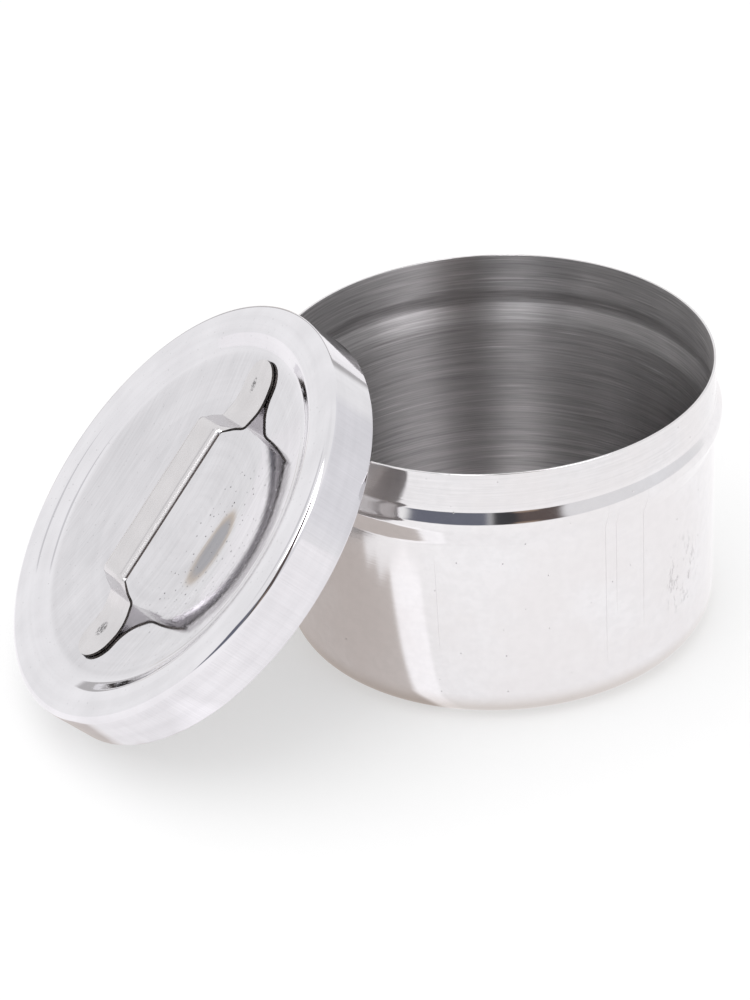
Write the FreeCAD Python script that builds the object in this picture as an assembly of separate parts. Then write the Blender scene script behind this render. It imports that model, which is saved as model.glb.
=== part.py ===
import FreeCAD, Part
import math
import os

# Round cotton jar in stainless sheet: a drawn cup, its pressed lid lifted off and leaning
# against the rim, and the strap handle that is spot welded into the lid's dish.
# Millimetres and degrees. The origin is the middle of the cup's bottom, on the table.

# Sheet and small radii
sheet = 0.5                  # the cup's wall and the lid
strap_sheet = 0.6            # the handle's strap
press_radius = 2.2           # outside radius of the shallow pressed bends

# The cup
rim_radius = 50.0            # outside, at the mouth
cup_height = 64.0
neck_height = 9.2            # plain wall between the rim and the bead
bead_shoulder = 2.6          # height of the bead's upper slope
bead_crown = 1.6             # height of the bead's widest band
bead_tail = 4.6              # height of the long slope below it
bead_stands_out = 1.35       # beyond the neck
body_set_in = 0.4            # the body just below the bead is this much smaller than the neck
body_taper = 0.7             # and draws in this much more down to the bottom, in a straight line
bottom_corner = 5.8          # outside radius between the wall and the flat bottom

# The lid
lid_clearance = 1.0          # between the cup's neck and the skirt, on the radius
lid_height = 12.5
lid_corner = 1.6             # outside radius between the skirt and the top
annulus_width = 7.0          # flat ring round the top, from the skirt inwards
step_width = 3.2             # sloping step inside that ring
step_drop = 2.1
ledge_width = 1.1            # narrow ring between the step and the dish
dish_slope = 12.0            # cone at the outside of the dish
dish_crown_radius = 110.0    # curve between that cone and the flat middle
dish_flat = 2.0              # radius of the flat spot in the very middle

# The handle, along and across the strap
bridge_length = 39.4         # flat top, between its two outer corners
bridge_rise = 3.0            # its top above the lid's flat ring
bridge_flat_width = 6.4
flange_radius = 1.9          # middle line of the curled-down edges
flange_length = 0.3          # straight lip at the end of the curl
flange_angle = 62.0
curl_steps = 4               # flats that make up the curl
shoulder_radius = 1.3        # bend from the top to the slope, middle line
slope_run = 2.9              # how far each slope reaches outwards
heel_drop = 2.5              # bend at the slope's foot, below the lid's flat ring
heel_radius = 0.7
waist_width = 10.6           # the strap at that bend
foot_length = 15.6           # from the bend to the rounded end
foot_width = 10.9
foot_lift_length = 5.5       # the part of a foot next to the bend that stands off the dish
foot_curve_radius = 14.0     # where the foot runs down onto the dish
handle_offset = 1.2          # welded this far from the middle, along the strap
handle_turn = 13.8           # its direction in the lid, from the line of lean
weld_seat = 0.25             # between the feet and the dish, along the strap's middle

# How the lid leans: its skirt touches the rim at two points, this far round the rim
# from the line of lean, and stands on the table with the lowest point of its edge
touch_angle = 38.2
lean_direction = 197.2       # from the cup's axis to the lid, from +X towards +Y
lean_gap = 0.1               # between the skirt and the rim

origin = FreeCAD.Vector(0, 0, 0)
upward = FreeCAD.Vector(0, 0, 1)
sideways = FreeCAD.Vector(1, 0, 0)

body_radius = rim_radius - body_set_in
bottom_radius = body_radius - body_taper
lid_radius = rim_radius + lid_clearance + sheet
step_outside = lid_radius - annulus_width
step_inside = step_outside - step_width
dish_radius = step_inside - ledge_width
dish_edge = lid_height - step_drop
strap_middle = strap_sheet / 2


def direction(start, end):
    length = math.hypot(end[0] - start[0], end[1] - start[1])
    return (end[0] - start[0]) / length, (end[1] - start[1]) / length


def shifted(points, distance):
    """The same path, moved to its left by a distance."""
    moved = []
    for index, point in enumerate(points):
        before = direction(points[max(index - 1, 0)], points[max(index, 1)])
        last = len(points) - 1
        after = direction(points[min(index, last - 1)], points[min(index + 1, last)])
        share = distance / (1 + before[0] * after[0] + before[1] * after[1])
        across = (-(before[1] + after[1]), before[0] + after[0])
        moved.append((point[0] + share * across[0], point[1] + share * across[1]))
    return moved


def corner(points, index, radius):
    """Start, middle and end of the arc that rounds one corner, and the turn to the left."""
    point = points[index]
    before = direction(points[index - 1], point)
    after = direction(point, points[index + 1])
    turn = math.atan2(before[0] * after[1] - before[1] * after[0], before[0] * after[0] + before[1] * after[1])
    reach = radius * math.tan(abs(turn) / 2)
    start = (point[0] - reach * before[0], point[1] - reach * before[1])
    end = (point[0] + reach * after[0], point[1] + reach * after[1])
    inward = direction(point, ((start[0] + end[0]) / 2, (start[1] + end[1]) / 2))
    depth = radius / math.cos(turn / 2) - radius
    middle = (point[0] + depth * inward[0], point[1] + depth * inward[1])
    return start, middle, end, turn


def rounded_path(points, radii, distance):
    """Edges along a path in the XZ plane, shifted to the left, with its corners rounded.

    A radius belongs to the unshifted path, so both faces of a sheet keep the same centres.
    """
    route = shifted(points, distance)
    edges = []
    here = route[0]
    for index in range(1, len(route) - 1):
        turn = corner(points, index, 1.0)[3]
        radius = radii[index - 1] - math.copysign(distance, turn)
        start, middle, end, turn = corner(route, index, radius)
        edges.append(Part.makeLine(place(here), place(start)))
        edges.append(Part.Arc(place(start), place(middle), place(end)).toShape())
        here = end
    edges.append(Part.makeLine(place(here), place(route[-1])))
    return edges


def place(point):
    return FreeCAD.Vector(point[0], 0, point[1])


def spun_sheet(points, radii, thickness):
    """A sheet of even thickness to the left of its outside path, spun round the Z axis."""
    outside = rounded_path(points, radii, 0.0)
    inside = rounded_path(points, radii, thickness)
    ends = (place(shifted(points, 0.0)[-1]), place(shifted(points, thickness)[-1]))
    starts = (place(shifted(points, 0.0)[0]), place(shifted(points, thickness)[0]))
    edges = outside + [Part.makeLine(ends[0], ends[1])] + inside + [Part.makeLine(starts[1], starts[0])]
    section = Part.Face(Part.Wire(Part.__sortEdges__(edges)))
    return section.revolve(origin, upward, 360)


def make_jar():
    bead_radius = rim_radius + bead_stands_out
    neck_bottom = cup_height - neck_height
    crown_top = neck_bottom - bead_shoulder
    crown_bottom = crown_top - bead_crown
    tail_bottom = crown_bottom - bead_tail
    outline = [
        (0.0, 0.0),
        (bottom_radius, 0.0),
        (body_radius, tail_bottom),
        (bead_radius, crown_bottom),
        (bead_radius, crown_top),
        (rim_radius, neck_bottom),
        (rim_radius, cup_height),
    ]
    radii = [bottom_corner, press_radius, press_radius, press_radius, press_radius]
    return spun_sheet(outline, radii, sheet)


def crown_corner():
    """Radius at which the dish's cone would meet its flat middle, without the curve."""
    return dish_flat + dish_crown_radius * math.tan(math.radians(dish_slope) / 2)


def dish_height(radius):
    """Top of the dish above the lid's open edge, at a distance from the lid's axis."""
    slope = math.tan(math.radians(dish_slope))
    bottom = dish_edge - (dish_radius - crown_corner()) * slope
    along_curve = radius - dish_flat
    if along_curve < 0:
        return bottom
    if along_curve < dish_crown_radius * math.sin(math.radians(dish_slope)):
        return bottom + dish_crown_radius - math.sqrt(dish_crown_radius ** 2 - along_curve ** 2)
    return dish_edge - (dish_radius - radius) * slope


def make_lid():
    outline = [
        (lid_radius, 0.0),
        (lid_radius, lid_height),
        (step_outside, lid_height),
        (step_inside, dish_edge),
        (dish_radius, dish_edge),
        (crown_corner(), dish_height(0.0)),
        (0.0, dish_height(0.0)),
    ]
    radii = [lid_corner, press_radius, press_radius, press_radius, dish_crown_radius]
    return spun_sheet(outline, radii, sheet)


def strap_route():
    """Middle line of the strap over the lid, from one end to the other, with its radii."""
    half = bridge_length / 2
    heel = half + slope_run
    end = heel + foot_length
    top = lid_height + bridge_rise - strap_middle
    low = lid_height - heel_drop - strap_middle
    route = []
    radii = []
    for side in (-1, 1):
        landing = side * (heel + foot_lift_length) + handle_offset
        landed = dish_height(abs(landing)) + weld_seat + strap_middle / math.cos(math.radians(dish_slope))
        tip = side * end + handle_offset
        tipped = dish_height(abs(tip)) + weld_seat + strap_middle / math.cos(math.radians(dish_slope))
        arm = [(tip, tipped), (landing, landed), (side * heel + handle_offset, low), (side * half + handle_offset, top)]
        bends = [foot_curve_radius, heel_radius, shoulder_radius]
        route += arm[::side * -1] if side > 0 else arm
        radii += bends[::side * -1] if side > 0 else bends
    return route, radii


def curl_width():
    """How much of the strap's width one curled edge takes, without its lip."""
    return math.radians(flange_angle) * flange_radius


def strap_section(centre, along, flat, total, angle):
    """Closed section of the strap: a flat top with both edges curled down by an angle."""
    across = flat / 2
    height = 0.0
    bend = (total / 2 - across) * curl_width() / (curl_width() + flange_length)
    lip = total / 2 - across - bend
    angle = math.radians(angle)
    edge = [(across, height)]
    for step in range(curl_steps):
        tilt = angle * (step + 0.5) / curl_steps
        across += bend / curl_steps * math.cos(tilt)
        height -= bend / curl_steps * math.sin(tilt)
        edge.append((across, height))
    edge.append((across + lip * math.cos(angle), height - lip * math.sin(angle)))
    middle = [(-out, up) for out, up in reversed(edge)] + edge
    ring = shifted(middle, strap_middle) + list(reversed(shifted(middle, -strap_middle)))
    corners = []
    for across, raised in ring:
        y = centre[0] - along[1] * raised
        z = centre[1] + along[0] * raised
        corners.append(FreeCAD.Vector(across, y, z))
    return Part.makePolygon(corners + corners[:1])


def make_handle():
    route, radii = strap_route()
    bridge_total = bridge_flat_width + 2 * (curl_width() + flange_length)
    foot_flat = bridge_flat_width
    sizes = {
        "foot": (foot_flat, foot_width, 0.0),
        "heel": (foot_flat * waist_width / foot_width, waist_width, 0.0),
        "fold": (bridge_flat_width, (waist_width + bridge_total) / 2, flange_angle / 3),
        "bridge": (bridge_flat_width, bridge_total, flange_angle),
    }
    plan = ["foot", "heel", "bridge", "bridge", "heel", "foot"]
    stations = [(route[0], direction(route[0], route[1]), "foot")]
    for index, name in enumerate(plan, start=1):
        start, middle, end, turn = corner(route, index, radii[index - 1])
        before = direction(route[index - 1], route[index])
        after = direction(route[index], route[index + 1])
        between = direction((0, 0), (before[0] + after[0], before[1] + after[1]))
        names = [name, name, name]
        if name == "bridge":
            names = ["fold", "fold", name] if index == 3 else [name, "fold", "fold"]
        stations.append((start, before, names[0]))
        stations.append((middle, between, names[1]))
        stations.append((end, after, names[2]))
    stations.append((route[-1], direction(route[-2], route[-1]), "foot"))
    sections = [strap_section(spot, along, *sizes[name]) for spot, along, name in stations]
    strap = Part.makeLoft(sections, True, True)
    strap = strap.common(plan_outline())
    strap = strap.Solids[0]
    strap.rotate(origin, upward, handle_turn)
    return strap


def plan_outline():
    """What the strap's blank looks like from above: straight, with rounded ends."""
    half_width = foot_width / 2
    straight = bridge_length / 2 + slope_run + foot_length - half_width
    height = 2 * (lid_height + bridge_rise)
    near = handle_offset - straight
    far = handle_offset + straight
    edges = [
        Part.makeLine(FreeCAD.Vector(half_width, near, 0), FreeCAD.Vector(half_width, far, 0)),
        Part.Arc(
            FreeCAD.Vector(half_width, far, 0),
            FreeCAD.Vector(0, far + half_width, 0),
            FreeCAD.Vector(-half_width, far, 0),
        ).toShape(),
        Part.makeLine(FreeCAD.Vector(-half_width, far, 0), FreeCAD.Vector(-half_width, near, 0)),
        Part.Arc(
            FreeCAD.Vector(-half_width, near, 0),
            FreeCAD.Vector(0, near - half_width, 0),
            FreeCAD.Vector(half_width, near, 0),
        ).toShape(),
    ]
    return Part.Face(Part.Wire(edges)).extrude(FreeCAD.Vector(0, 0, height))


def leaned(shape):
    """Put a shape from the lid's own frame, open edge down, to where the lid leans."""
    inside_radius = lid_radius - sheet
    half_chord = rim_radius * math.sin(math.radians(touch_angle))
    rise = math.sqrt(inside_radius ** 2 - half_chord ** 2)
    lean = math.asin(cup_height / (rise + lid_radius))
    distance = math.sqrt(rim_radius ** 2 - half_chord ** 2) + rise * math.cos(lean) + lean_gap
    along = math.radians(lean_direction)
    shape.rotate(origin, sideways, math.degrees(lean))
    shape.rotate(origin, upward, lean_direction + 90)
    shape.translate(FreeCAD.Vector(distance * math.cos(along), distance * math.sin(along), lid_radius * math.sin(lean)))
    return shape


os.makedirs("parts", exist_ok=True)
nodes = {
    "jar": make_jar(),
    "lid": leaned(make_lid()),
    "handle": leaned(make_handle()),
}
for name, shape in nodes.items():
    print(name, "valid", shape.isValid(), "solids", len(shape.Solids), "volume", round(shape.Volume, 1))
    shape.exportStep("parts/" + name + ".step")
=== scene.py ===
import math

import bpy
from mathutils import Matrix, Vector


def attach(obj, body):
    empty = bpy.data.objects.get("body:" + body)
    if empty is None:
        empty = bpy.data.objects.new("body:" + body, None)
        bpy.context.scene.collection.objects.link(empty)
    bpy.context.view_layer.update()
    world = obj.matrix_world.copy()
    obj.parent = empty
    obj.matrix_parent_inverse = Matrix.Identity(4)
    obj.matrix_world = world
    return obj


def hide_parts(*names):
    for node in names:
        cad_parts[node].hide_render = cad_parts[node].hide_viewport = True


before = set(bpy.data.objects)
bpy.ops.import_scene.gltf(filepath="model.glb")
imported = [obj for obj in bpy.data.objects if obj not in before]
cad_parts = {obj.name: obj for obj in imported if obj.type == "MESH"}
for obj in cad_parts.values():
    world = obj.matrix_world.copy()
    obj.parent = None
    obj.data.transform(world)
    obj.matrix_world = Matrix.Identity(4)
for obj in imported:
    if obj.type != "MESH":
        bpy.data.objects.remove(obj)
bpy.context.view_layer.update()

mm = 0.001
print("frame loaded:", sorted(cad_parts))


# Small helpers for meshes

drawing = {
    "fewestSteps": 4,  # in the arc of one bend
    "mergeWithin": 0.01 * mm,
    "cutEdgeSteps": 2,
    "cutEdgeFrom": math.radians(55),  # sharper edges are rounded off
}


def deselectAll():
    bpy.ops.object.select_all(action="DESELECT")


def makeActive(piece):
    deselectAll()
    piece.select_set(True)
    bpy.context.view_layer.objects.active = piece


def applyPlace(piece):
    makeActive(piece)
    bpy.ops.object.transform_apply(location=True, rotation=True, scale=True)


def addSheetThickness(piece, thickness, edgeRound, offset, innerSlot, rimSlot):
    # the two material slots are filled once the steel is made
    piece.data.materials.append(None)
    piece.data.materials.append(None)
    solidify = piece.modifiers.new("thickness", "SOLIDIFY")
    solidify.thickness = thickness
    solidify.offset = offset
    solidify.use_even_offset = True
    solidify.material_offset = innerSlot
    solidify.material_offset_rim = rimSlot
    bevel = piece.modifiers.new("cutEdge", "BEVEL")
    bevel.width = edgeRound
    bevel.segments = drawing["cutEdgeSteps"]
    bevel.limit_method = "ANGLE"
    bevel.angle_limit = drawing["cutEdgeFrom"]
    makeActive(piece)
    for modifier in list(piece.modifiers):
        bpy.ops.object.modifier_apply(modifier=modifier.name)
    for face in piece.data.polygons:
        face.use_smooth = True


# Outlines with rounded corners, as (out, up) pairs

def directionOf(start, end):
    length = math.hypot(end[0] - start[0], end[1] - start[1])
    return (end[0] - start[0]) / length, (end[1] - start[1]) / length


def arcAt(points, index, radius, stepAngle):
    # the arc that rounds one corner, from its start to its end
    point = points[index]
    before = directionOf(points[index - 1], point)
    after = directionOf(point, points[index + 1])
    cross = before[0] * after[1] - before[1] * after[0]
    turn = math.atan2(cross, before[0] * after[0] + before[1] * after[1])
    steps = max(drawing["fewestSteps"], math.ceil(math.degrees(abs(turn)) / stepAngle))
    reach = radius * math.tan(abs(turn) / 2)
    side = math.copysign(1, turn)
    start = (point[0] - reach * before[0], point[1] - reach * before[1])
    centre = (start[0] - side * radius * before[1], start[1] + side * radius * before[0])
    spoke = (start[0] - centre[0], start[1] - centre[1])
    arc = []
    for step in range(steps + 1):
        angle = turn * step / steps
        arc.append((
            centre[0] + spoke[0] * math.cos(angle) - spoke[1] * math.sin(angle),
            centre[1] + spoke[0] * math.sin(angle) + spoke[1] * math.cos(angle),
        ))
    return arc


def roundedOutline(points, radii, drawn):
    # holdBack keeps a flat stretch flat right up to its bend, and a short stretch gets no rows
    holdBack = drawn["holdBack"]
    arcs = [arcAt(points, index, radius, drawn["stepAngle"]) for index, radius in enumerate(radii, start=1)]
    outline = [points[0]]
    for following in arcs + [[points[-1]]]:
        start, end = outline[-1], following[0]
        length = math.hypot(end[0] - start[0], end[1] - start[1])
        along = directionOf(start, end)
        if length > 4 * holdBack:
            flat = length - 2 * holdBack
            parts = math.ceil(flat / drawn["longest"])
            holds = [holdBack + flat * part / parts for part in range(parts + 1)]
            outline += [(start[0] + along[0] * hold, start[1] + along[1] * hold) for hold in holds]
        outline += following
    return outline


def spinOutline(name, outline, segments):
    # one vertex is drawn along the outline and the line is spun round the Z axis
    deselectAll()
    bpy.ops.mesh.primitive_plane_add(size=mm)
    piece = bpy.context.object
    piece.name = name
    piece.data.name = name
    bpy.ops.object.mode_set(mode="EDIT")
    bpy.ops.mesh.select_all(action="SELECT")
    bpy.ops.mesh.merge(type="CENTER")
    bpy.ops.transform.translate(value=(outline[0][0], 0, outline[0][1]))
    for start, end in zip(outline, outline[1:]):
        step = (end[0] - start[0], 0, end[1] - start[1])
        bpy.ops.mesh.extrude_region_move(TRANSFORM_OT_translate={"value": step})
    bpy.ops.mesh.select_all(action="SELECT")
    bpy.ops.mesh.spin(steps=segments, angle=2 * math.pi, center=(0, 0, 0), axis=(0, 0, 1))
    bpy.ops.mesh.select_all(action="SELECT")
    bpy.ops.mesh.remove_doubles(threshold=drawing["mergeWithin"])
    bpy.ops.mesh.normals_make_consistent(inside=False)
    bpy.ops.object.mode_set(mode="OBJECT")
    return piece


# Camera at the photo's angle

camera = {
    "lens": 115.2,
    "sensor": 36,
    "elevation": math.radians(31.6551),
    "roll": math.radians(-3.8981),
    "distance": 745.755 * mm,
    "right": -29.375 * mm,
    "up": 22.76 * mm,
    "nearest": 10 * mm,
    "farthest": 20,
}


def addCamera():
    tilt = camera["elevation"]
    roll = camera["roll"]
    back = Vector((0, -math.cos(tilt), math.sin(tilt)))
    level = Vector((1, 0, 0))
    upright = Vector((0, math.sin(tilt), math.cos(tilt)))
    right = level * math.cos(roll) + upright * math.sin(roll)
    up = upright * math.cos(roll) - level * math.sin(roll)
    place = back * camera["distance"] + right * camera["right"] + up * camera["up"]
    bpy.ops.object.camera_add(location=place)
    eye = bpy.context.object
    eye.name = "photoCamera"
    turn = Matrix((right, up, back)).transposed().to_4x4()
    eye.matrix_world = Matrix.Translation(place) @ turn
    eye.data.lens = camera["lens"]
    eye.data.sensor_width = camera["sensor"]
    eye.data.clip_start = camera["nearest"]
    eye.data.clip_end = camera["farthest"]
    bpy.context.scene.camera = eye


deselectAll()
addCamera()
print("camera set")


# The jar: one drawn cup

sheet = 0.5 * mm  # of jar and lid
pressRadius = 2.2 * mm  # of their plain bends, on the outside
jar = {
    "rimRadius": 50 * mm,
    "height": 64 * mm,
    "neck": 9.2 * mm,
    "beadShoulder": 2.6 * mm,
    "beadCrown": 1.6 * mm,
    "beadTail": 4.6 * mm,
    "beadOut": 1.35 * mm,
    "bodyIn": 0.4 * mm,
    "taper": 0.7 * mm,
    "bottomCorner": 5.8 * mm,
    "edgeRound": 0.12 * mm,
    "segments": 288,
    "stepAngle": 6,
    "holdBack": 0.3 * mm,
    "longest": 8 * mm,
}
neckBottom = jar["height"] - jar["neck"]


def spinSheet(name, corners, radii, drawn):
    # outside outline, spun round and given its thickness inwards
    piece = spinOutline(name, roundedOutline(corners, radii, drawn), drawn["segments"])
    addSheetThickness(piece, sheet, drawn["edgeRound"], offset=-1, innerSlot=1, rimSlot=0)
    return piece


def makeJar():
    bodyRadius = jar["rimRadius"] - jar["bodyIn"]
    beadRadius = jar["rimRadius"] + jar["beadOut"]
    crownTop = neckBottom - jar["beadShoulder"]
    crownBottom = crownTop - jar["beadCrown"]
    corners = [
        (0, 0),
        (bodyRadius - jar["taper"], 0),
        (bodyRadius, crownBottom - jar["beadTail"]),
        (beadRadius, crownBottom),
        (beadRadius, crownTop),
        (jar["rimRadius"], neckBottom),
        (jar["rimRadius"], jar["height"]),
    ]
    radii = [jar["bottomCorner"]] + [pressRadius] * 4
    return spinSheet("polished_jar", corners, radii, jar)


polishedJar = makeJar()
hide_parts("jar")
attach(polishedJar, "root")
print("jar spun:", len(polishedJar.data.polygons), "faces")


# The lid: one pressed cap, made upright and then leaned

lid = {
    "clearance": 1.0 * mm,
    "height": 12.5 * mm,
    "corner": 1.6 * mm,
    "annulus": 7.0 * mm,
    "step": 3.2 * mm,
    "stepDrop": 2.1 * mm,
    "ledge": 1.1 * mm,
    "dishSlope": math.radians(12),
    "crownRadius": 110 * mm,
    "dishFlat": 2 * mm,
    "edgeRound": 0.12 * mm,
    "touchAngle": math.radians(38.2),
    "leanDirection": math.radians(197.2),
    "leanGap": 0.1 * mm,
    "segments": 288,
    "stepAngle": 6,
    "holdBack": 0.3 * mm,
    "longest": 4 * mm,
}
lidRadius = jar["rimRadius"] + lid["clearance"] + sheet
stepOutside = lidRadius - lid["annulus"]
stepInside = stepOutside - lid["step"]
dishRadius = stepInside - lid["ledge"]
dishEdge = lid["height"] - lid["stepDrop"]
crownCorner = lid["dishFlat"] + lid["crownRadius"] * math.tan(lid["dishSlope"] / 2)


def dishHeight(radius):
    # flat in the middle, then a curve, then a straight slope up to the ledge
    slope = math.tan(lid["dishSlope"])
    bottom = dishEdge - (dishRadius - crownCorner) * slope
    alongCurve = radius - lid["dishFlat"]
    if alongCurve < 0:
        return bottom
    if alongCurve < lid["crownRadius"] * math.sin(lid["dishSlope"]):
        return bottom + lid["crownRadius"] - math.sqrt(lid["crownRadius"] ** 2 - alongCurve ** 2)
    return dishEdge - (dishRadius - radius) * slope


def leanMatrix():
    # the skirt stands on the table and lies on the jar's rim at two points
    halfChord = jar["rimRadius"] * math.sin(lid["touchAngle"])
    rise = math.sqrt((lidRadius - sheet) ** 2 - halfChord ** 2)
    lean = math.asin(jar["height"] / (rise + lidRadius))
    distance = math.sqrt(jar["rimRadius"] ** 2 - halfChord ** 2) + rise * math.cos(lean) + lid["leanGap"]
    along = lid["leanDirection"]
    place = Vector((distance * math.cos(along), distance * math.sin(along), lidRadius * math.sin(lean)))
    turn = Matrix.Rotation(along + math.pi / 2, 4, "Z") @ Matrix.Rotation(lean, 4, "X")
    return Matrix.Translation(place) @ turn


def leanPiece(piece):
    piece.matrix_world = leanMatrix()
    applyPlace(piece)


def makeLid():
    corners = [
        (lidRadius, 0),
        (lidRadius, lid["height"]),
        (stepOutside, lid["height"]),
        (stepInside, dishEdge),
        (dishRadius, dishEdge),
        (crownCorner, dishHeight(0)),
        (0, dishHeight(0)),
    ]
    radii = [lid["corner"]] + [pressRadius] * 3 + [lid["crownRadius"]]
    return spinSheet("polished_lid", corners, radii, lid)


polishedLid = makeLid()
leanPiece(polishedLid)
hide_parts("lid")
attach(polishedLid, "root")
print("lid spun and leaned:", len(polishedLid.data.polygons), "faces")


# The handle: a flat strap blank, pressed over its route and welded into the dish

handle = {
    "strap": 0.6 * mm,
    "bridgeLength": 39.4 * mm,
    "bridgeRise": 3.0 * mm,
    "bridgeFlat": 6.4 * mm,
    "flangeRadius": 1.9 * mm,
    "flangeLip": 0.3 * mm,
    "flangeAngle": math.radians(62),
    "flangeCurled": 0.87,  # share of the flange that is curled, the rest of it is the straight lip
    "curlHeld": 0.9 * mm,  # the curl starts to open this far before the bridge ends
    "curlOpen": 0.75,  # and is flat at this share of the slope
    "leastCurl": 0.001,  # in radians, less is taken as flat
    "shoulderRadius": 1.7 * mm,
    "slopeRun": 2.9 * mm,
    "heelDrop": 2.5 * mm,
    "heelRadius": 1.8 * mm,
    "waist": 10.6 * mm,
    "footLength": 15.6 * mm,
    "footWidth": 10.9 * mm,
    "footLift": 5.5 * mm,
    "footCurve": 14 * mm,
    "offset": 1.2 * mm,
    "turn": math.radians(13.8),
    "weldSeat": 0.25 * mm,
    "edgeRound": 0.14 * mm,
    "acrossSteps": 36,
    "tipAngles": (0.8, 4, 9, 16, 25, 35, 46, 57, 68, 79),  # rows round each foot's end, in degrees
    "stepAngle": 5,
    "holdBack": 0.25 * mm,
    "longest": 0.9 * mm,
}
bridgeEnd = handle["bridgeLength"] / 2
heel = bridgeEnd + handle["slopeRun"]
footEnd = heel + handle["footLength"]


def strapRoute():
    # middle line of the strap, from one foot's end to the other's, as corners and bend radii
    top = lid["height"] + handle["bridgeRise"] - handle["strap"] / 2
    low = lid["height"] - handle["heelDrop"] - handle["strap"] / 2
    seat = handle["weldSeat"] + handle["strap"] / 2 / math.cos(lid["dishSlope"])
    route = []
    radii = []
    for side in (-1, 1):
        landing = side * (heel + handle["footLift"]) + handle["offset"]
        tip = side * footEnd + handle["offset"]
        arm = [
            (tip, dishHeight(abs(tip)) + seat),
            (landing, dishHeight(abs(landing)) + seat),
            (side * heel + handle["offset"], low),
            (side * bridgeEnd + handle["offset"], top),
        ]
        bends = [handle["footCurve"], handle["heelRadius"], handle["shoulderRadius"]]
        route += arm if side < 0 else arm[::-1]
        radii += bends if side < 0 else bends[::-1]
    return route, radii


def strapPath():
    # the rounded route, with rows that close up where the feet are rounded off
    corners, radii = strapRoute()
    path = roundedOutline(corners, radii, handle)
    middle = handle["offset"]
    tip = handle["footWidth"] / 2
    length = abs(path[0][0] - middle)
    path = [point for point in path if abs(point[0] - middle) < length - tip]
    steps = [tip * (1 - math.cos(math.radians(angle))) for angle in handle["tipAngles"]]
    for side, first, second in ((-1, corners[0], corners[1]), (1, corners[-1], corners[-2])):
        slope = (second[1] - first[1]) / abs(second[0] - first[0])
        rows = [(middle + side * (length - step), first[1] + slope * step) for step in steps]
        path = rows + path if side < 0 else path + rows[::-1]
    return path


def smoothStep(value, low, high):
    share = max(0, min(1, (value - low) / (high - low)))
    return share * share * (3 - 2 * share)


def strapShape(along):
    # width and curl of the strap, at a distance along the lid from the handle's middle
    away = abs(along)
    curlEnd = bridgeEnd + handle["curlOpen"] * handle["slopeRun"]
    curl = handle["flangeAngle"] * (1 - smoothStep(away, bridgeEnd - handle["curlHeld"], curlEnd))
    flange = handle["flangeAngle"] * handle["flangeRadius"] + handle["flangeLip"]
    width = handle["bridgeFlat"] + 2 * flange if away < bridgeEnd else handle["footWidth"]
    waisted = smoothStep(away, bridgeEnd, heel) * (1 - smoothStep(away, heel, heel + handle["footLift"]))
    width += (handle["waist"] - width) * waisted
    roundStart = footEnd - handle["footWidth"] / 2
    if away > roundStart:
        width *= math.sqrt(max(0, 1 - ((away - roundStart) / (footEnd - roundStart)) ** 2))
    return width, curl


def pressedPoint(share, width, curl):
    # how far out and how far down a point of the blank goes, with share from -1 to 1 across it
    reach = abs(share) * width / 2
    fold = handle["bridgeFlat"] / 2 * min(width, handle["footWidth"]) / handle["footWidth"]
    bend = (width / 2 - fold) * handle["flangeCurled"]
    out = min(reach, fold)
    drop = 0.0
    if reach > fold:
        curved = min(reach - fold, bend)
        lip = reach - fold - curved
        if curl > handle["leastCurl"]:
            radius = bend / curl
            angle = curl * curved / bend
            out += radius * math.sin(angle)
            drop += radius * (1 - math.cos(angle))
        else:
            out += curved
        out += lip * math.cos(curl)
        drop += lip * math.sin(curl)
    return math.copysign(out, share), drop


def makeHandle():
    path = strapPath()
    steps = handle["acrossSteps"]
    deselectAll()
    bpy.ops.mesh.primitive_grid_add(x_subdivisions=steps, y_subdivisions=len(path) - 1, size=1)
    piece = bpy.context.object
    piece.name = "satin_handle"
    piece.data.name = "satin_handle"
    for index, vertex in enumerate(piece.data.vertices):
        row, column = divmod(index, steps + 1)
        run = directionOf(path[max(row - 1, 0)], path[min(row + 1, len(path) - 1)])
        width, curl = strapShape(path[row][0] - handle["offset"])
        out, drop = pressedPoint(2 * column / steps - 1, width, curl)
        vertex.co = (out, path[row][0] + run[1] * drop, path[row][1] - run[0] * drop)
    addSheetThickness(piece, handle["strap"], handle["edgeRound"], offset=0, innerSlot=0, rimSlot=1)
    piece.matrix_world = Matrix.Rotation(handle["turn"], 4, "Z")
    applyPlace(piece)
    return piece


satinHandle = makeHandle()
leanPiece(satinHandle)
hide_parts("handle")
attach(satinHandle, "root")
print("handle pressed:", len(satinHandle.data.polygons), "faces")


# Node helpers: a value may be a number, a colour or another node's output

def feed(tree, node, inputs):
    for socket, value in inputs.items():
        if isinstance(value, bpy.types.NodeSocket):
            tree.links.new(value, node.inputs[socket])
        else:
            node.inputs[socket].default_value = value


def addNode(tree, kind, inputs=None, **settings):
    made = tree.nodes.new("ShaderNode" + kind)
    for name, value in settings.items():
        setattr(made, name, value)
    feed(tree, made, inputs or {})
    return made


def calc(tree, operation, first, second=0.0):
    return addNode(tree, "Math", {0: first, 1: second}, operation=operation).outputs[0]


def plus(tree, first, second):
    return calc(tree, "ADD", first, second)


def minus(tree, first, second):
    return calc(tree, "SUBTRACT", first, second)


def times(tree, first, second):
    return calc(tree, "MULTIPLY", first, second)


def larger(tree, first, second):
    return calc(tree, "MAXIMUM", first, second)


def spread(tree, value, low, high, newLow=0.0, newHigh=1.0, smooth=False):
    kind = "SMOOTHSTEP" if smooth else "LINEAR"
    inputs = {"Value": value, "From Min": low, "From Max": high, "To Min": newLow, "To Max": newHigh}
    return addNode(tree, "MapRange", inputs, interpolation_type=kind).outputs["Result"]


def split(tree, vector):
    return addNode(tree, "SeparateXYZ", {0: vector}).outputs


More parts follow.
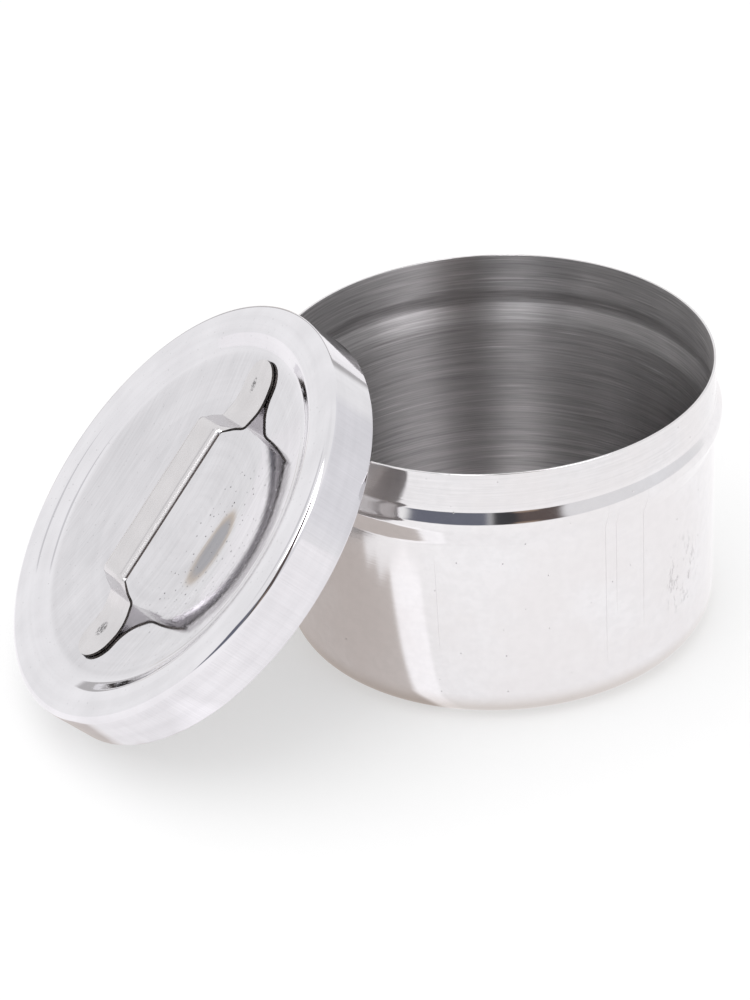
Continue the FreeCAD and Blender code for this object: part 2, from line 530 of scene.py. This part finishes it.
def joined(tree, x, y, z):
    return addNode(tree, "CombineXYZ", {0: x, 1: y, 2: z}).outputs[0]


def scaled(tree, vector, factors):
    return addNode(tree, "VectorMath", {0: vector, 1: factors}, operation="MULTIPLY").outputs[0]


def grey(tree, level):
    return addNode(tree, "CombineColor", {0: level, 1: level, 2: level}).outputs[0]


def mixColour(tree, factor, first, second, blend="MIX"):
    # sockets 6 and 7 of the node are its two colours, and output 2 is the mixed one
    inputs = {0: factor}
    for socket, colour in ((6, first), (7, second)):
        inputs[socket] = (*colour, 1) if isinstance(colour, tuple) else colour
    return addNode(tree, "Mix", inputs, data_type="RGBA", blend_type=blend).outputs[2]


def grain(tree, vector, look, scale=1.0):
    # a noise pattern, spread out between two of its levels
    inputs = {"Vector": vector, "Scale": scale, "Detail": look["detail"], "Roughness": look["roughness"]}
    pattern = addNode(tree, "TexNoise", inputs).outputs[0]
    return spread(tree, pattern, *look["levels"], smooth=look.get("smooth", False))


def spotMask(tree, across, along, spot):
    # soft ellipse on two coordinates
    aside = calc(tree, "DIVIDE", minus(tree, across, spot["at"][0]), spot["half"][0])
    ahead = calc(tree, "DIVIDE", minus(tree, along, spot["at"][1]), spot["half"][1])
    away = plus(tree, times(tree, aside, aside), times(tree, ahead, ahead))
    return spread(tree, away, 1.0 + spot["soft"], 1.0 - spot["soft"], smooth=True)


def spotMasks(tree, across, along, spots):
    mask = 0.0
    for spot in spots:
        mask = larger(tree, mask, spotMask(tree, across, along, spot))
    return mask


def startMaterial(name):
    material = bpy.data.materials.new(name)
    material.use_nodes = True
    tree = material.node_tree
    tree.nodes.clear()
    shader = addNode(tree, "BsdfPrincipled")
    addNode(tree, "OutputMaterial", {"Surface": shader.outputs[0]})
    return material, tree, shader


# World: a white studio with a few lighter and darker things standing round the object

# in degrees: direction as (azimuth from the front to the right, elevation), half width and half height
surroundings = [
    {"at": (42, 57), "half": (16, 24), "soft": 5, "colour": (4.2, 4.15, 4.25)},
    {"at": (-104, 45), "half": (14, 8), "soft": 5, "colour": (0.72, 0.72, 0.73)},
    {"at": (-25, 68), "half": (10, 17), "soft": 3, "colour": (7.0, 7.0, 7.1)},
    {"at": (75, 13), "half": (50, 8), "soft": 10, "colour": (0.87, 0.87, 0.89)},
    {"at": (13, 42), "half": (13, 36), "soft": 5, "colour": (0.12, 0.095, 0.09)},
    {"at": (-26, 15), "half": (17, 10), "soft": 5, "colour": (0.16, 0.168, 0.21)},
    {"at": (1, 17), "half": (4, 11), "soft": 5, "colour": (0.05, 0.05, 0.055)},
    {"at": (11, 10), "half": (4, 6), "soft": 3, "colour": (0.33, 0.25, 0.2)},
    {"at": (180, 0), "half": (30, 7), "soft": 4, "colour": (0.52, 0.51, 0.51)},
]
# the same for two round things, tilted, with a softness that is a share of their size
roundThings = [
    {"at": (-139.7, 3.6), "half": (4.1, 2.9), "soft": 0.25, "tilt": 45, "colour": (0.72, 0.63, 0.53)},
    {"at": (-139.7, 3.6), "half": (3.3, 2.3), "soft": 0.35, "tilt": 45, "colour": (0.55, 0.55, 0.56)},
]
overhead = {"from": 62, "soft": 12, "level": 0.95}


def lookTowards(tree, heading, height, thing):
    # angles from a thing's middle, to the side and up
    azimuth, elevation = (math.radians(angle) for angle in thing["at"])
    inputs = {"Vector": heading, "Angle": -azimuth}
    turned = addNode(tree, "VectorRotate", inputs, rotation_type="Z_AXIS").outputs[0]
    east, north = split(tree, turned)[:2]
    return calc(tree, "ARCTAN2", east, times(tree, north, -1.0)), minus(tree, height, elevation)


def squareMask(tree, heading, height, thing):
    mask = 1.0
    for away, half in zip(lookTowards(tree, heading, height, thing), thing["half"]):
        away = calc(tree, "ABSOLUTE", away)
        side = spread(tree, away, math.radians(half + thing["soft"]), math.radians(half), smooth=True)
        mask = times(tree, mask, side)
    return mask


def roundMask(tree, heading, height, thing):
    aside, above = lookTowards(tree, heading, height, thing)
    cosine, sine = math.cos(math.radians(thing["tilt"])), math.sin(math.radians(thing["tilt"]))
    across = plus(tree, times(tree, aside, cosine), times(tree, above, sine))
    upward = minus(tree, times(tree, above, cosine), times(tree, aside, sine))
    half = [math.radians(angle) for angle in thing["half"]]
    return spotMask(tree, across, upward, {"at": (0, 0), "half": half, "soft": thing["soft"]})


def buildWorld():
    world = bpy.data.worlds.new("studio")
    bpy.context.scene.world = world
    world.use_nodes = True
    tree = world.node_tree
    tree.nodes.clear()
    heading = addNode(tree, "TexCoord").outputs["Generated"]
    height = calc(tree, "ARCSINE", split(tree, heading)["Z"])
    start, full = math.radians(overhead["from"]), math.radians(overhead["from"] + overhead["soft"])
    colour = grey(tree, spread(tree, height, start, full, 1.0, overhead["level"], smooth=True))
    for things, makeMask in ((surroundings, squareMask), (roundThings, roundMask)):
        for thing in things:
            colour = mixColour(tree, makeMask(tree, heading, height, thing), colour, thing["colour"])
    # only mirrored light sees these things; the light on the floor stays plain white
    mirrored = addNode(tree, "LightPath").outputs["Is Glossy Ray"]
    colour = mixColour(tree, mirrored, (1, 1, 1), colour)
    background = addNode(tree, "Background", {"Color": colour, "Strength": 1.0})
    addNode(tree, "OutputWorld", {"Surface": background.outputs[0]})


buildWorld()


# Floor and lamp

floor = {
    "size": 3.0,
    "colour": (0.93, 0.93, 0.93, 1),
    "roughness": 0.9,
    "specular": 0.1,
    # share of plain white in the floor, seen directly and in the steel
    "plainWhite": 0.5,
    "mirroredWhite": 0.8,
    # its tones in the steel: all round, and lit and shaded between the lid and the jar
    "mirrored": (1.08, 1.065, 1.075),
    "lit": (1.26, 1.24, 1.26),
    "shaded": (0.64, 0.58, 0.55),
    # edges of the jar's and the lid's shadow on the table, as a point on each and its rise
    "jarShadow": {"at": (-21.3 * mm, -53.1 * mm), "rise": 0.823, "soft": 1 * mm},
    "lidShadow": {"at": (-29 * mm, -49 * mm), "rise": 0.40, "soft": 1.5 * mm},
    # soft edges of the place where these tones show, and two corners that are left out of it
    "left": (-108 * mm, -104 * mm),
    "right": (-8 * mm, -18 * mm),
    "front": (-85 * mm, -81 * mm),
    "cornersOut": [
        {"right": (-86 * mm, -82 * mm), "back": (-54.5 * mm, -50.5 * mm)},
        {"right": (-78 * mm, -72 * mm), "back": (-60.5 * mm, -57.5 * mm)},
    ],
}


def shadowSide(tree, x, y, edge):
    # 1 behind the edge of a shadow, 0 in front of it
    along = times(tree, minus(tree, x, edge["at"][0]), edge["rise"])
    behind = minus(tree, minus(tree, y, edge["at"][1]), along)
    return spread(tree, behind, -edge["soft"], edge["soft"], smooth=True)


def addFloor():
    deselectAll()
    bpy.ops.mesh.primitive_plane_add(size=floor["size"])
    table = bpy.context.object
    table.name = "paleFloor"
    material, tree, shader = startMaterial("paleFloor")
    feed(tree, shader, {
        "Base Color": floor["colour"],
        "Roughness": floor["roughness"],
        "Specular IOR Level": floor["specular"],
    })
    x, y = split(tree, addNode(tree, "TexCoord").outputs["Object"])[:2]
    nearby = times(tree, spread(tree, x, *floor["left"]), spread(tree, x, *floor["right"]))
    nearby = times(tree, nearby, spread(tree, y, *floor["front"]))
    for corner in floor["cornersOut"]:
        kept = larger(tree, spread(tree, x, *corner["right"]), spread(tree, y, *corner["back"]))
        nearby = times(tree, nearby, kept)
    tone = floor["mirrored"]
    for edge, tint in (("jarShadow", "lit"), ("lidShadow", "shaded")):
        mask = times(tree, shadowSide(tree, x, y, floor[edge]), nearby)
        tone = mixColour(tree, mask, tone, floor[tint])
    # seen directly or in the steel, the floor is white with only part of its shadow
    ray = addNode(tree, "LightPath").outputs
    seen = times(tree, ray["Is Camera Ray"], floor["plainWhite"])
    mirrored = times(tree, ray["Is Glossy Ray"], floor["mirroredWhite"])
    tone = mixColour(tree, ray["Is Glossy Ray"], (1, 1, 1), tone)
    white = addNode(tree, "Emission", {"Color": tone, "Strength": 1.0}).outputs[0]
    both = addNode(tree, "MixShader", {0: larger(tree, seen, mirrored), 1: shader.outputs[0], 2: white})
    feed(tree, tree.nodes["Material Output"], {"Surface": both.outputs[0]})
    table.data.materials.append(material)


addFloor()

lamp = {"at": (-0.25, -0.1, 0.9), "size": 0.9, "power": 2.4}


def addLamp():
    deselectAll()
    bpy.ops.object.light_add(type="AREA", location=lamp["at"])
    light = bpy.context.object
    light.name = "topSoftbox"
    light.data.size = lamp["size"]
    light.data.energy = lamp["power"]
    light.visible_glossy = False
    light.rotation_euler = (-Vector(lamp["at"])).to_track_quat("-Z", "Y").to_euler()


addLamp()
print("studio ready")


# Effects that several finishes share

brushed = {
    "Lines": {"scale": 1.0, "detail": 3.0, "roughness": 0.6, "levels": (0.3, 0.7)},
    "Bands": {"scale": 0.22, "detail": 2.0, "roughness": 0.5, "levels": (0.33, 0.67)},
    "Scratches": {"scale": 0.6, "detail": 1.0, "roughness": 0.4, "levels": (0.66, 0.74)},
    "scratchShift": (7.3, 2.1, 41.7),
}
pitWall = 0.4  # how soon a pit gets deep, as a share of the largest one
clouded = {"detail": 3.0, "roughness": 0.55, "levels": (0.35, 0.65), "smooth": True}


def startGroup(name, inputs, outputs):
    group = bpy.data.node_groups.new(name, "ShaderNodeTree")
    for title, kind in inputs:
        group.interface.new_socket(name=title, in_out="INPUT", socket_type="NodeSocket" + kind)
    for title in outputs:
        group.interface.new_socket(name=title, in_out="OUTPUT", socket_type="NodeSocketFloat")
    return group, group.nodes.new("NodeGroupInput").outputs, group.nodes.new("NodeGroupOutput")


def buildBrushing():
    # fine parallel lines; the vector's Z runs across them, X and Y along them
    titles = ["Lines", "Bands", "Scratches"]
    group, given, result = startGroup("brushing", [("Vector", "Vector")], titles)
    plain = given["Vector"]
    inputs = {0: plain, 1: brushed["scratchShift"]}
    shifted = addNode(group, "VectorMath", inputs, operation="ADD").outputs[0]
    for title, vector in zip(titles, (plain, plain, shifted)):
        feed(group, result, {title: grain(group, vector, brushed[title], brushed[title]["scale"])})
    return group


def buildPitting():
    # small round pits of mixed size, spread over a flat pattern
    sockets = [("Vector", "Vector"), ("Spacing", "Float"), ("Share", "Float"), ("Largest", "Float")]
    group, given, result = startGroup("pitting", sockets, ["Pits"])
    inputs = {"Vector": given["Vector"], "Scale": calc(group, "DIVIDE", 1.0, given["Spacing"])}
    cells = addNode(group, "TexVoronoi", inputs, voronoi_dimensions="2D").outputs
    chance = addNode(group, "SeparateColor", {0: cells["Color"]}).outputs[0]
    largest = calc(group, "DIVIDE", given["Largest"], given["Spacing"])
    size = spread(group, chance, minus(group, 1.0, given["Share"]), 1.0, 0.0, largest)
    depth = calc(group, "DIVIDE", minus(group, size, cells["Distance"]), times(group, largest, pitWall))
    feed(group, result, {"Pits": calc(group, "MINIMUM", larger(group, depth, 0.0), 1.0)})
    return group


def buildClouding():
    # soft uneven patches, from handling and wiping
    group, given, result = startGroup("clouding", [("Vector", "Vector"), ("Size", "Float")], ["Cloud"])
    scale = calc(group, "DIVIDE", 1.0, given["Size"])
    feed(group, result, {"Cloud": grain(group, given["Vector"], clouded, scale)})
    return group


brushing = buildBrushing()
pitting = buildPitting()
clouding = buildClouding()


def brushLines(tree, vector):
    return addNode(tree, "Group", {"Vector": vector}, node_tree=brushing).outputs


def pitMask(tree, vector, pits):
    return addNode(tree, "Group", {"Vector": vector, **pits}, node_tree=pitting).outputs[0]


def cloudMask(tree, vector, size):
    return addNode(tree, "Group", {"Vector": vector, "Size": size}, node_tree=clouding).outputs[0]


# Positions on the steel, in metres

def jarPosition(tree):
    return addNode(tree, "TexCoord").outputs["Object"]


def lidPosition(tree, turn=0.0):
    # back from where the lid leans to its own upright frame, turned to the strap if asked
    lean = leanMatrix()
    inputs = {"Vector": addNode(tree, "TexCoord").outputs["Object"]}
    inputs["Location"] = lean.to_translation()
    inputs["Rotation"] = lean.to_euler()
    own = addNode(tree, "Mapping", inputs, vector_type="TEXTURE").outputs[0]
    inputs = {"Vector": own, "Rotation": (0, 0, turn)}
    return addNode(tree, "Mapping", inputs, vector_type="TEXTURE").outputs[0]


def aroundAxis(tree, position):
    x, y, z = split(tree, position)
    azimuth = calc(tree, "ARCTAN2", y, x)
    out = calc(tree, "SQRT", plus(tree, times(tree, x, x), times(tree, y, y)))
    return azimuth, out, z


def inwards(tree, value, edge, distances, smooth=False):
    # 0 to 1 from one distance to another, both measured back from an edge
    return spread(tree, value, edge - distances[0], edge - distances[1], smooth=smooth)


# Vectors for lines: how fast the noise runs along the lines, and how fast across them

def ringLines(tree, position, pace):
    # round the axis, without a seam
    azimuth, out, z = aroundAxis(tree, position)
    east = times(tree, calc(tree, "COSINE", azimuth), pace[0])
    north = times(tree, calc(tree, "SINE", azimuth), pace[0])
    return joined(tree, east, north, times(tree, plus(tree, z, out), pace[1]))


def skirtLines(tree, azimuth, z, pace):
    # upright, all round the skirt
    east = times(tree, calc(tree, "COSINE", azimuth), pace[1])
    north = times(tree, calc(tree, "SINE", azimuth), pace[1])
    return joined(tree, east, times(tree, z, pace[0]), north)


def strapLines(tree, along, across, pace):
    return joined(tree, times(tree, along, pace[0]), 0.0, times(tree, across, pace[1]))


# Colour and relief

def shade(tree, colour, share, factor):
    # darkens a colour by a share where the factor is 1
    level = spread(tree, factor, 0.0, 1.0, 1.0, 1.0 - share)
    return mixColour(tree, 1.0, colour, grey(tree, level), "MULTIPLY")


def shadeAll(tree, colour, steps):
    for share, factor in steps:
        colour = shade(tree, colour, share, factor)
    return colour


def bump(tree, height, relief):
    return addNode(tree, "Bump", {"Height": height, **relief}).outputs[0]


def steel(tree, shader, looks):
    feed(tree, shader, {"Metallic": 1.0, **looks})


# The jar's outside: polished, with pits, fine upright scratches and one scuffed place

jarOutside = {
    "colour": (0.825, 0.815, 0.825),
    "roughness": 0.08,
    "handled": (0.775, 0.75, 0.75),
    "handledShare": 0.5,
    "cloud": 20 * mm,
    "fineCloud": 2.2 * mm,
    "linePace": (3.0, 2600.0),
    "neckSoft": 1 * mm,
    "pits": {"Spacing": 5 * mm, "Share": 0.24, "Largest": 0.24 * mm},
    "pitsFrom": (1.5 * mm, 2.5 * mm),  # above the table
    # placed by azimuth in radians and height
    "scratches": [
        {"at": (-1.135, 31.5 * mm), "half": (0.0022, 21 * mm), "soft": 0.4},
        {"at": (-1.08, 36 * mm), "half": (0.0018, 14 * mm), "soft": 0.4},
        {"at": (-0.93, 34 * mm), "half": (0.0024, 18 * mm), "soft": 0.4},
        {"at": (-1.9, 30 * mm), "half": (0.0015, 12 * mm), "soft": 0.4},
    ],
    "scuff": {"at": (-0.66, 23.5 * mm), "half": (0.13, 8.5 * mm), "soft": 0.8},
    "scuffGrain": {"detail": 4.0, "roughness": 0.7, "levels": (0.54, 0.62)},
    "scuffPace": (700, 700, 330),
    # painted shade: a dull, slightly beige ring where the wall meets the table, standing in for the table's
    # contact shadow mirrored in the wall
    "ring": {"at": (7.5 * mm, 2 * mm), "share": 0.8, "colour": (0.56, 0.51, 0.47)},
    # how much each mark darkens the steel
    "shades": {
        "lines": 0.015,
        "fine": 0.035,
        "neck": 0.03,
        "neckLines": 0.08,
        "scratches": 0.10,
        "scuffs": 0.2,
        "pits": 0.42,
    },
    "dulled": {"cloud": 0.03, "wear": 0.25},
    "lineRelief": 0.08,
    "relief": {"Distance": 0.06 * mm, "Strength": 0.6},
}


def makeJarOutside():
    look = jarOutside
    shades = look["shades"]
    material, tree, shader = startMaterial("jarOutside")
    position = jarPosition(tree)
    azimuth, _, z = aroundAxis(tree, position)
    lines = brushLines(tree, ringLines(tree, position, look["linePace"]))["Lines"]
    cloud = cloudMask(tree, position, look["cloud"])
    unrolled = joined(tree, times(tree, azimuth, jar["rimRadius"]), z, 0.0)
    pits = times(tree, pitMask(tree, unrolled, look["pits"]), spread(tree, z, *look["pitsFrom"]))
    marks = spotMasks(tree, azimuth, z, look["scratches"])
    rubbed = grain(tree, scaled(tree, position, look["scuffPace"]), look["scuffGrain"])
    scuffs = times(tree, spotMask(tree, azimuth, z, look["scuff"]), rubbed)
    # the neck was brushed round and stays a little duller
    onNeck = spread(tree, z, neckBottom, neckBottom + look["neckSoft"], smooth=True)
    colour = shadeAll(tree, look["colour"], [
        (shades["lines"], lines),
        (shades["fine"], cloudMask(tree, position, look["fineCloud"])),
        (shades["neck"], onNeck),
        (shades["neckLines"], times(tree, lines, onNeck)),
    ])
    colour = mixColour(tree, times(tree, cloud, look["handledShare"]), colour, look["handled"])
    colour = shadeAll(tree, colour, [
        (shades["scratches"], marks),
        (shades["scuffs"], scuffs),
        (shades["pits"], pits),
    ])
    # painted shade at the foot of the wall, for the mirrored contact shadow
    ring = times(tree, spread(tree, z, *look["ring"]["at"], smooth=True), look["ring"]["share"])
    colour = mixColour(tree, ring, colour, look["ring"]["colour"])
    wear = larger(tree, larger(tree, scuffs, marks), pits)
    dull = plus(tree, times(tree, cloud, look["dulled"]["cloud"]), times(tree, wear, look["dulled"]["wear"]))
    height = minus(tree, times(tree, lines, look["lineRelief"]), pits)
    steel(tree, shader, {
        "Base Color": colour,
        "Roughness": plus(tree, dull, look["roughness"]),
        "Normal": bump(tree, height, look["relief"]),
    })
    return material


# Inside jar and lid: satin, turned on a wheel, so it has lines all round and glows in upright columns

inside = {
    "jar": {"colour": (0.655, 0.635, 0.64), "lines": 0.4, "bands": 0.2},
    # painted light: the lid's inside is much lighter and less lined than the jar's, to brighten its shaded
    # hollow
    "lid": {"colour": (0.95, 0.94, 0.95), "lines": 0.12, "bands": 0.06},
    "roughness": 0.4,
    "bandRoughness": 0.08,
    "streaking": 0.96,
    "streakTurn": 0.25,
    "linePace": (3.0, 2400.0),
    "cloud": 15 * mm,
    "cloudShade": 0.08,
    "scratchShade": -0.35,  # scratches are lighter
    "scratchRelief": 0.6,
    "relief": {"Distance": 0.03 * mm, "Strength": 0.5},
}


def makeInside(name, findPosition, side):
    material, tree, shader = startMaterial(name)
    position = findPosition(tree)
    lines = brushLines(tree, ringLines(tree, position, inside["linePace"]))
    colour = shadeAll(tree, side["colour"], [
        (side["lines"], lines["Lines"]),
        (side["bands"], lines["Bands"]),
        (inside["cloudShade"], cloudMask(tree, position, inside["cloud"])),
        (inside["scratchShade"], lines["Scratches"]),
    ])
    height = plus(tree, lines["Lines"], times(tree, lines["Scratches"], inside["scratchRelief"]))
    steel(tree, shader, {
        "Base Color": colour,
        "Roughness": plus(tree, times(tree, lines["Bands"], inside["bandRoughness"]), inside["roughness"]),
        "Normal": bump(tree, height, inside["relief"]),
        "Anisotropic": inside["streaking"],
        "Anisotropic Rotation": inside["streakTurn"],
        "Tangent": addNode(tree, "Tangent", direction_type="RADIAL", axis="Z").outputs[0],
    })
    return material


# The lid: buffed along the strap, cloudy from handling, pitted beside the strap

lidOutside = {
    "colour": (0.83, 0.817, 0.845),
    "roughness": 0.035,
    "cloud": 14 * mm,
    "smear": 6 * mm,
    "smearStretch": (1.0, 0.35, 1.0),
    "buffPace": (45.0, 1700.0),
    "ringPace": (2.0, 2200.0),
    "skirtPace": (40.0, 160.0),
    "pits": {"Spacing": 1.7 * mm, "Share": 0.45, "Largest": 0.26 * mm},
    "pitted": {"at": (14.5 * mm, 0.0), "half": (12 * mm, 24 * mm), "soft": 0.5},
    "pitsElsewhere": 0.18,
    # soft limits, measured back from the lid's top, its outside and the dish's rim
    "skirtTop": (1.4 * mm, 2.0 * mm),
    "skirtWall": (2 * mm, 1 * mm),
    "topEdge": (1.5 * mm, 2.5 * mm),
    "dishRim": (-1 * mm, 1 * mm),
    # how much each mark darkens the steel
    "shades": {
        "dish": 0.05,
        "buffLines": 0.08,
        "buffBands": 0.04,
        "rings": 0.05,
        "cloud": 0.05,
        "smear": 0.03,
        "skirtLines": 0.07,
        "pits": 0.6,
    },
    "dulled": {"cloud": 0.03, "pits": 0.3},
    "lineRelief": 0.06,
    "relief": {"Distance": 0.06 * mm, "Strength": 0.5},
}


def makeLidOutside():
    look = lidOutside
    shades = look["shades"]
    material, tree, shader = startMaterial("lidOutside")
    own = lidPosition(tree)
    strap = lidPosition(tree, handle["turn"])
    azimuth, away, z = aroundAxis(tree, own)
    across, along = split(tree, strap)[:2]
    onSkirt = times(
        tree,
        inwards(tree, z, lid["height"], look["skirtTop"], smooth=True),
        inwards(tree, away, lidRadius, look["skirtWall"], smooth=True),
    )
    onTop = inwards(tree, away, lidRadius, look["topEdge"])
    inDish = inwards(tree, away, dishRadius, look["dishRim"], smooth=True)
    buffed = brushLines(tree, strapLines(tree, along, across, look["buffPace"]))
    rings = brushLines(tree, ringLines(tree, own, look["ringPace"]))["Bands"]
    upright = brushLines(tree, skirtLines(tree, azimuth, z, look["skirtPace"]))["Lines"]
    cloud = cloudMask(tree, own, look["cloud"])
    smear = cloudMask(tree, scaled(tree, strap, look["smearStretch"]), look["smear"])
    pitted = larger(tree, spotMask(tree, across, along, look["pitted"]), look["pitsElsewhere"])
    pits = times(tree, times(tree, pitMask(tree, strap, look["pits"]), pitted), onTop)
    colour = shadeAll(tree, look["colour"], [
        (shades["dish"], inDish),
        (shades["buffLines"], times(tree, buffed["Lines"], inDish)),
        (shades["buffBands"], times(tree, buffed["Bands"], inDish)),
        (shades["rings"], rings),
        (shades["cloud"], cloud),
        (shades["smear"], smear),
        (shades["skirtLines"], times(tree, upright, onSkirt)),
        (shades["pits"], pits),
    ])
    dull = plus(tree, times(tree, cloud, look["dulled"]["cloud"]), times(tree, pits, look["dulled"]["pits"]))
    height = minus(tree, times(tree, buffed["Lines"], look["lineRelief"]), pits)
    steel(tree, shader, {
        "Base Color": colour,
        "Roughness": plus(tree, dull, look["roughness"]),
        "Normal": bump(tree, height, look["relief"]),
    })
    return material


# The handle: satin strap with painted shade on its cut edges, and the welds' little pits on its feet

handleFinish = {
    "colour": (0.72, 0.70, 0.71),
    "roughness": 0.15,
    "cloud": 8 * mm,
    "cloudDull": 0.05,
    "linePace": (120.0, 3200.0),
    "welds": [
        {"at": (-1.3 * mm, 33.2 * mm), "half": (0.7 * mm, 1.7 * mm), "soft": 0.5},
        {"at": (-0.6 * mm, -30 * mm), "half": (1.2 * mm, 1.7 * mm), "soft": 0.7},
    ],
    "weldPace": (2600, 1500, 2600),
    "weldGrain": {"detail": 2.0, "roughness": 0.6, "levels": (0.44, 0.52)},
    "shades": {"lines": 0.06, "cloud": 0.05, "welds": 0.68},
    "lineRelief": 0.1,
    "relief": {"Distance": 0.08 * mm, "Strength": 0.6},
}
# painted shade: the cut edges are near-black, standing in for the shadow in the gap under the strap's edges
# and their dark line mirrored in the dish, with a slightly lighter speckle
cutEdge = {
    "colour": (0.05, 0.047, 0.046),
    "shadeSpeckle": (0.12, 0.105, 0.095),
    "shadeSpecklePace": (1500, 1500, 1500),
    "shadeSpeckleGrain": {"detail": 2.0, "roughness": 0.6, "levels": (0.35, 0.7)},
    "roughness": 0.5,
}


def makeHandleFinish():
    look = handleFinish
    shades = look["shades"]
    material, tree, shader = startMaterial("handleFinish")
    strap = lidPosition(tree, handle["turn"])
    across, along = split(tree, strap)[:2]
    lines = brushLines(tree, strapLines(tree, along, across, look["linePace"]))["Lines"]
    cloud = cloudMask(tree, strap, look["cloud"])
    speckle = grain(tree, scaled(tree, strap, look["weldPace"]), look["weldGrain"])
    welds = times(tree, spotMasks(tree, across, along, look["welds"]), speckle)
    colour = shadeAll(tree, look["colour"], [
        (shades["lines"], lines),
        (shades["cloud"], cloud),
        (shades["welds"], welds),
    ])
    height = minus(tree, times(tree, lines, look["lineRelief"]), welds)
    steel(tree, shader, {
        "Base Color": colour,
        "Roughness": plus(tree, times(tree, cloud, look["cloudDull"]), look["roughness"]),
        "Normal": bump(tree, height, look["relief"]),
    })
    return material


def makeCutEdge():
    material, tree, shader = startMaterial("handleCutEdge")
    # painted shade: near-black cut edges with a lighter speckle
    shadeSpeckle = grain(tree, scaled(tree, lidPosition(tree), cutEdge["shadeSpecklePace"]), cutEdge["shadeSpeckleGrain"])
    colour = mixColour(tree, shadeSpeckle, cutEdge["colour"], cutEdge["shadeSpeckle"])
    steel(tree, shader, {"Base Color": colour, "Roughness": cutEdge["roughness"]})
    return material


finishes = [
    (polishedJar, makeJarOutside(), makeInside("jarInside", jarPosition, inside["jar"])),
    (polishedLid, makeLidOutside(), makeInside("lidInside", lidPosition, inside["lid"])),
    (satinHandle, makeHandleFinish(), makeCutEdge()),
]
for piece, first, second in finishes:
    piece.data.materials[0] = first
    piece.data.materials[1] = second
print("steel finished")

bpy.context.scene.view_settings.view_transform = "Standard"
